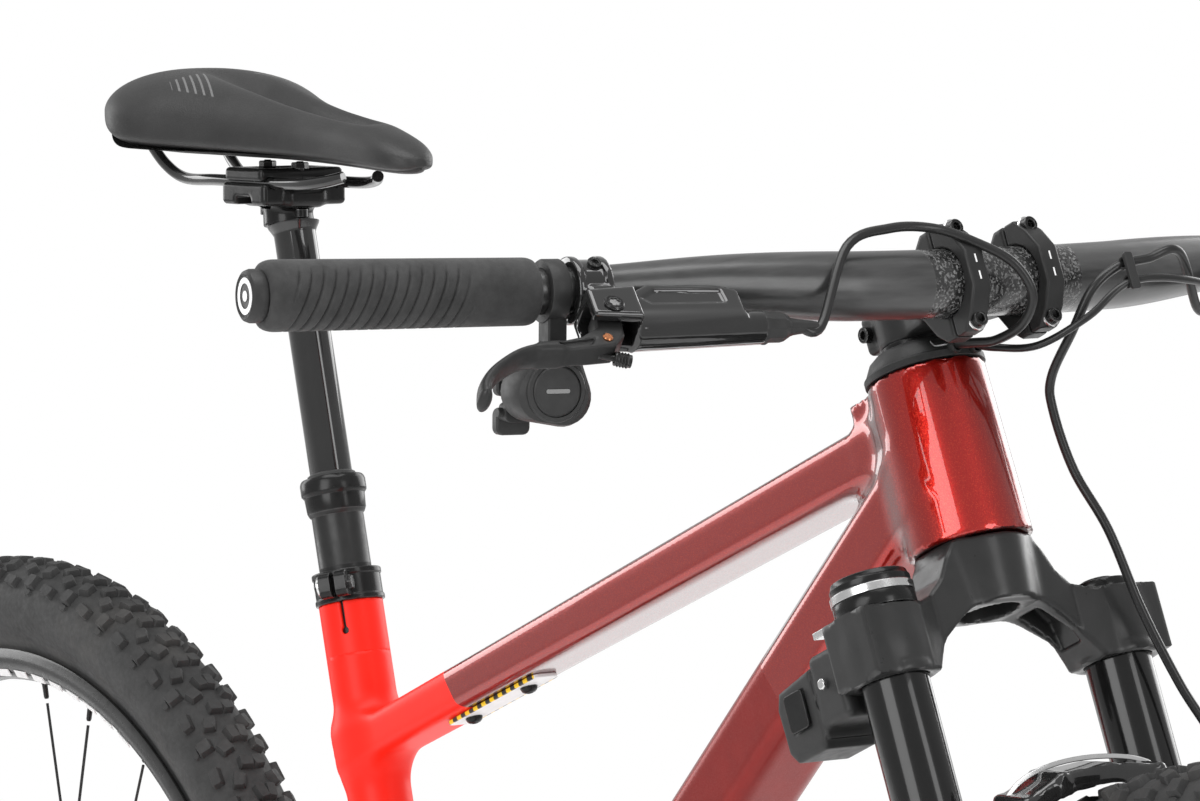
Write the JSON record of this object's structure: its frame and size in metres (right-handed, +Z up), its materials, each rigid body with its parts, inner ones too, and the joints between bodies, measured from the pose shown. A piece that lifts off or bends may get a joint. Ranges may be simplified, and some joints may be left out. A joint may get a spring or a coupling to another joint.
{
  "type": "mountain bike",
  "caption": "Full-suspension mountain bike with telescopic fork, swingarm and shock, telescopic seat post, disc brakes, wireless shifting and chain drive.",
  "frame": {"origin": "on the ground, midway between the two axles, in the mid-plane", "axes": "+X forward, +Y to the rider's left, +Z up"},
  "size_m": [1.9408, 0.816, 1.0526],
  "materials": {
    "frame_red": "gloss to satin paint",
    "swingarm_red": "satin paint",
    "white_plate": "matt",
    "bearing_steel": "brushed",
    "black_anodised": "anodised, gloss",
    "black_satin": "anodised, satin",
    "black_gloss": "anodised, gloss",
    "moulded_black": "moulded",
    "saddle_cover": "synthetic leather, matt",
    "fork_black": "satin paint",
    "stem_black": "bead-blasted, anodised",
    "bolt_black": "black oxide",
    "carbon_satin": "satin carbon fibre",
    "grip_rubber": "foamed rubber, matt",
    "brake_black": "gloss anodised",
    "hose_black": "satin hose",
    "lever_black": "matt anodised",
    "tyre_rubber": "tread rubber, matt",
    "rim_black": "satin carbon fibre",
    "spoke_black": "black steel",
    "disc_steel": "ground steel",
    "chain_steel": "plated steel",
    "cassette_steel": "machined steel",
    "pedal_black": "blasted, anodised",
    "shaft_silver": "polished"
  },
  "bodies": {
    "frame": {"front_frame": "frame_red", "frame_bearings": "bearing_steel", "seat_collar": "black_anodised", "dropper_lower": "black_satin", "accessory_mount": "white_plate", "frame_pivot_axles": "bearing_steel"},
    "seat": {"dropper_upper": "black_gloss", "saddle_clamp": "black_anodised", "saddle_rails": "black_gloss", "saddle_shell": "moulded_black", "saddle_pad": "saddle_cover"},
    "steering": {"fork_crown": "fork_black", "stanchions": "black_gloss", "fork_top_caps": "black_anodised", "fork_module": "moulded_black", "headset_cover": "moulded_black", "stem": "stem_black", "stem_clamp_bands": "stem_black", "stem_bolts": "bolt_black", "handlebar": "carbon_satin", "grips": "grip_rubber", "bar_plugs": "moulded_black", "brake_masters": "brake_black", "shift_pods": "moulded_black", "control_hoses": "hose_black", "front_brake_hose": "hose_black"},
    "right_lever": {"right_brake_lever": "lever_black"},
    "left_lever": {"left_brake_lever": "lever_black"},
    "upshift": {"upshift_paddle": "moulded_black"},
    "downshift": {"downshift_paddle": "moulded_black"},
    "dropper_control": {"dropper_paddle": "moulded_black"},
    "lowers": {"fork_lowers": "fork_black", "front_axle": "black_anodised", "front_caliper": "brake_black"},
    "front_wheel": {"front_tyre": "tyre_rubber", "front_rim": "rim_black", "front_spokes": "spoke_black", "front_hub": "black_anodised", "front_rotor": "disc_steel"},
    "rear_end": {"swingarm": "swingarm_red", "rear_axle": "black_anodised", "rear_caliper": "brake_black", "derailleur_base": "black_anodised", "chain": "chain_steel"},
    "rear_wheel": {"rear_tyre": "tyre_rubber", "rear_rim": "rim_black", "rear_spokes": "spoke_black", "rear_hub": "black_anodised", "rear_rotor": "disc_steel"},
    "sprockets": {"cassette": "cassette_steel"},
    "crankset": {"crank_arms": "carbon_satin", "chainring": "black_anodised"},
    "right_pedal_body": {"right_pedal": "pedal_black"},
    "left_pedal_body": {"left_pedal": "pedal_black"},
    "derailleur": {"derailleur_knuckle": "black_anodised"},
    "derailleur_cage_body": {"derailleur_cage": "black_anodised"},
    "guide_wheel": {"guide_pulley": "moulded_black"},
    "tension_wheel": {"tension_pulley": "moulded_black"},
    "shock_outer": {"shock_barrel": "black_anodised"},
    "shock_inner": {"shock_shaft": "shaft_silver"}
  },
  "joints": [
    {"name": "steering_turn", "type": "hinge", "parent": "frame", "child": "steering", "pos_m": [0.34921, 0, 0.82683], "axis": [-0.4045, 0, 0.9145], "range_deg": [-50, 50]},
    {"name": "dropper_travel", "type": "slide", "parent": "frame", "child": "seat", "axis": [0.2639, 0, -0.9646], "range_m": [0, 0.15]},
    {"name": "fork_travel", "type": "slide", "parent": "steering", "child": "lowers", "axis": [-0.4045, 0, 0.9145], "range_m": [0, 0.1], "stiffness_N_per_m": 7000, "springref_m": -0.01, "deforming": ["front_brake_hose"]},
    {"name": "front_wheel_spin", "type": "hinge", "parent": "lowers", "child": "front_wheel", "pos_m": [0.5985, 0, 0.372], "axis": [0, 1, 0], "continuous": true},
    {"name": "right_brake_pull", "type": "hinge", "parent": "steering", "child": "right_lever", "pos_m": [0.3695, -0.24097, 0.95263], "axis": [0.6086, -0.0933, 0.7879], "range_deg": [-18, 0], "stiffness_Nm_per_rad": 1},
    {"name": "left_brake_pull", "type": "hinge", "parent": "steering", "child": "left_lever", "pos_m": [0.3695, 0.24097, 0.95263], "axis": [0.6086, 0.0933, 0.7879], "range_deg": [0, 18], "stiffness_Nm_per_rad": 1},
    {"name": "upshift_press", "type": "hinge", "parent": "steering", "child": "upshift", "pos_m": [0.32154, -0.26055, 0.9259], "axis": [-0.1676, -0.9858, 0.0127], "range_deg": [-6, 0]},
    {"name": "downshift_press", "type": "hinge", "parent": "steering", "child": "downshift", "pos_m": [0.3215, -0.26079, 0.90691], "axis": [-0.1676, -0.9858, 0.0127], "range_deg": [0, 6]},
    {"name": "dropper_press", "type": "hinge", "parent": "steering", "child": "dropper_control", "pos_m": [0.32153, 0.26065, 0.9179], "axis": [-0.1676, 0.9858, 0.0127], "range_deg": [0, 8]},
    {"name": "rear_suspension", "type": "hinge", "parent": "frame", "child": "rear_end", "pos_m": [-0.12534, 0, 0.38], "axis": [0, 1, 0], "range_deg": [0, 12.5], "stiffness_Nm_per_rad": 450, "springref_deg": -114.59, "deforming": ["chain"]},
    {"name": "rear_wheel_spin", "type": "hinge", "parent": "rear_end", "child": "rear_wheel", "pos_m": [-0.5985, 0, 0.372], "axis": [0, 1, 0], "continuous": true},
    {"name": "crank_turn", "type": "hinge", "parent": "frame", "child": "crankset", "pos_m": [-0.16534, 0, 0.332], "axis": [0, 1, 0], "continuous": true},
    {"name": "right_pedal_spin", "type": "hinge", "parent": "crankset", "child": "right_pedal_body", "pos_m": [0.00466, 0, 0.332], "axis": [0, 1, 0], "continuous": true},
    {"name": "left_pedal_spin", "type": "hinge", "parent": "crankset", "child": "left_pedal_body", "pos_m": [-0.33534, 0, 0.332], "axis": [0, 1, 0], "continuous": true},
    {"name": "sprocket_turn", "type": "hinge", "parent": "rear_end", "child": "sprockets", "pos_m": [-0.5985, 0, 0.372], "axis": [0, 1, 0], "continuous": true},
    {"name": "derailleur_shift", "type": "slide", "parent": "rear_end", "child": "derailleur", "axis": [0, 1, 0], "range_m": [-0.001, 0.008]},
    {"name": "cage_swing", "type": "hinge", "parent": "derailleur", "child": "derailleur_cage_body", "pos_m": [-0.5835, 0, 0.226], "axis": [0, 1, 0], "range_deg": [-30, 10], "stiffness_Nm_per_rad": 0.2},
    {"name": "guide_pulley_spin", "type": "hinge", "parent": "derailleur_cage_body", "child": "guide_wheel", "pos_m": [-0.5835, 0, 0.226], "axis": [0, 1, 0], "continuous": true},
    {"name": "tension_pulley_spin", "type": "hinge", "parent": "derailleur_cage_body", "child": "tension_wheel", "pos_m": [-0.5435, 0, 0.146], "axis": [0, 1, 0], "continuous": true},
    {"name": "shock_swing", "type": "hinge", "parent": "frame", "child": "shock_outer", "pos_m": [0.04366, 0, 0.613], "axis": [0, 1, 0], "range_deg": [-3.83, 0]},
    {"name": "shock_stroke", "type": "slide", "parent": "shock_outer", "child": "shock_inner", "axis": [0.9834, 0, 0.1813], "range_m": [0, 0.043]}
  ],
  "couplings": [
    {"joint": "sprocket_turn", "follows": "crank_turn", "ratio": 1.5238},
    {"joint": "guide_pulley_spin", "follows": "crank_turn", "ratio": -2.6667},
    {"joint": "tension_pulley_spin", "follows": "crank_turn", "ratio": 2.6667},
    {"joint": "shock_swing", "follows": "rear_suspension", "ratio": -0.30049},
    {"joint": "shock_stroke", "follows": "rear_suspension", "m_per_rad": 0.19324}
  ]
}
